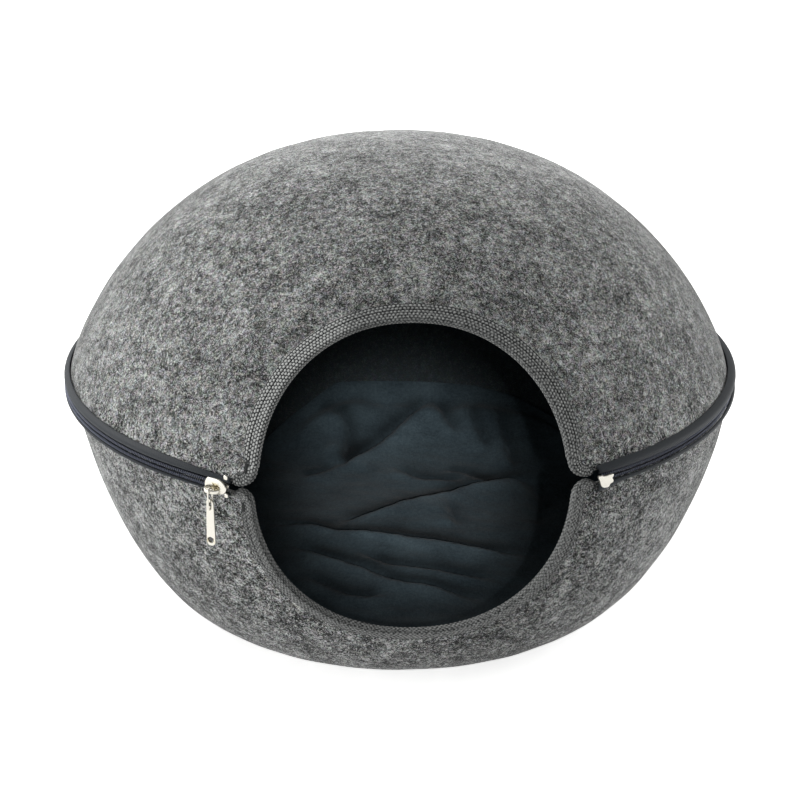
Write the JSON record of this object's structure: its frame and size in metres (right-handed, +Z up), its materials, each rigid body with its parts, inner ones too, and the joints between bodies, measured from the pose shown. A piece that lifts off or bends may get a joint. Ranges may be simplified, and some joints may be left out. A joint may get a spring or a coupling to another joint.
{
  "type": "felt cat cave",
  "caption": "Egg-shaped felt cave for a cat: moulded upper and lower halves zipped together, a bound round doorway at the front and a plush mat on the floor.",
  "frame": {"origin": "middle of the flat base, on the surface the cave stands on", "axes": "+Z up; the doorway faces -Y and +X is to the viewer's right"},
  "size_m": [0.4026, 0.3793, 0.277],
  "materials": {
    "felt": "grey melange needle felt, matt with short stray fibres",
    "knit_binding": "grey ribbed knit tape, matt",
    "zip_tape": "dark slate woven polyester tape, slight sheen",
    "nylon_coil": "dark slate nylon coil, satin",
    "cast_metal": "bright nickel plated die casting",
    "plush": "dark slate short-pile plush"
  },
  "bodies": {
    "root": {"upper_shell": "felt", "lower_shell": "felt", "binding_upper": "knit_binding", "binding_lower": "knit_binding", "zip_tape_upper": "zip_tape", "zip_tape_lower": "zip_tape", "zip_coil_upper": "nylon_coil", "zip_coil_lower": "nylon_coil", "zip_slider": "cast_metal", "zip_pull_link": "cast_metal", "zip_pull": "cast_metal", "zip_stop_upper": "cast_metal", "zip_stop_lower": "cast_metal", "zip_end_block": "cast_metal", "plush_mat": "plush"}
  },
  "joints": []
}
